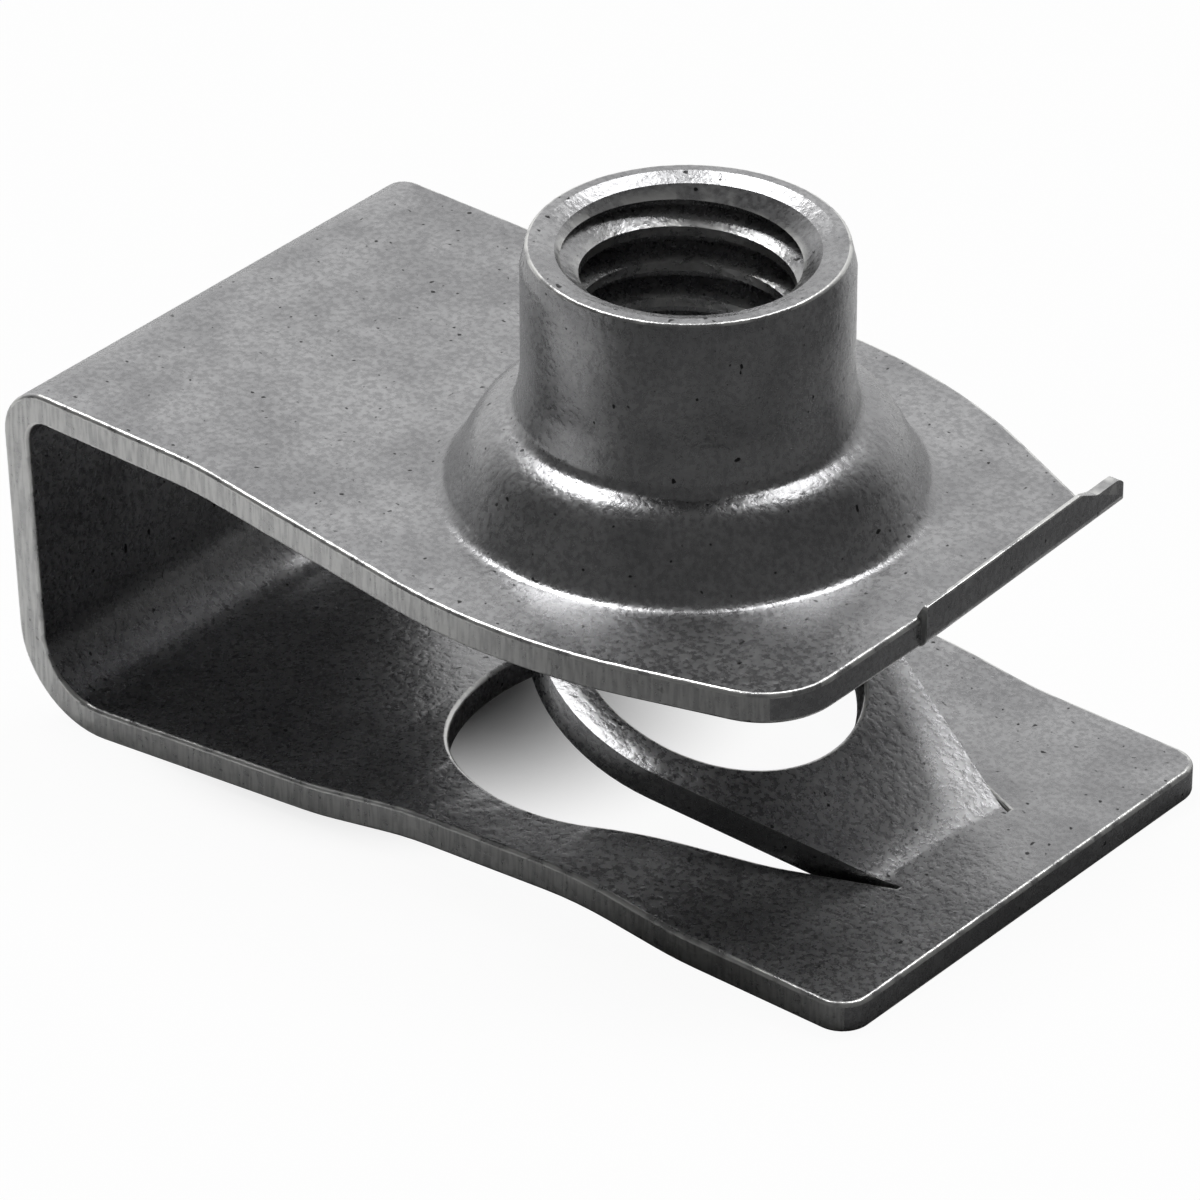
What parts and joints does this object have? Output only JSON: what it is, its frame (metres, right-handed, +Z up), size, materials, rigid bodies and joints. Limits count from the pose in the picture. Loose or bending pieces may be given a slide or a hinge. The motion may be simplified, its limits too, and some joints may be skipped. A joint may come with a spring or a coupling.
{
  "type": "u-shaped spring clip nut",
  "caption": "Folded spring steel clip nut with a drawn, threaded barrel on one leg and a raised, pierced tongue on the other.",
  "frame": {"origin": "on the thread's axis, in the upper leg's underside, the face that clamps on the panel", "axes": "+X toward the open end, the way the clip comes off the panel; +Y across the strip; +Z up along the thread, from the clamping face toward the barrel's rim"},
  "size_m": [0.0338, 0.0206, 0.0202],
  "materials": {
    "spring_steel": "dark grey phosphate and oil over hardened spring steel, with bright rubbed edges"
  },
  "bodies": {
    "root": {"spring_nut": "spring_steel"}
  },
  "joints": []
}
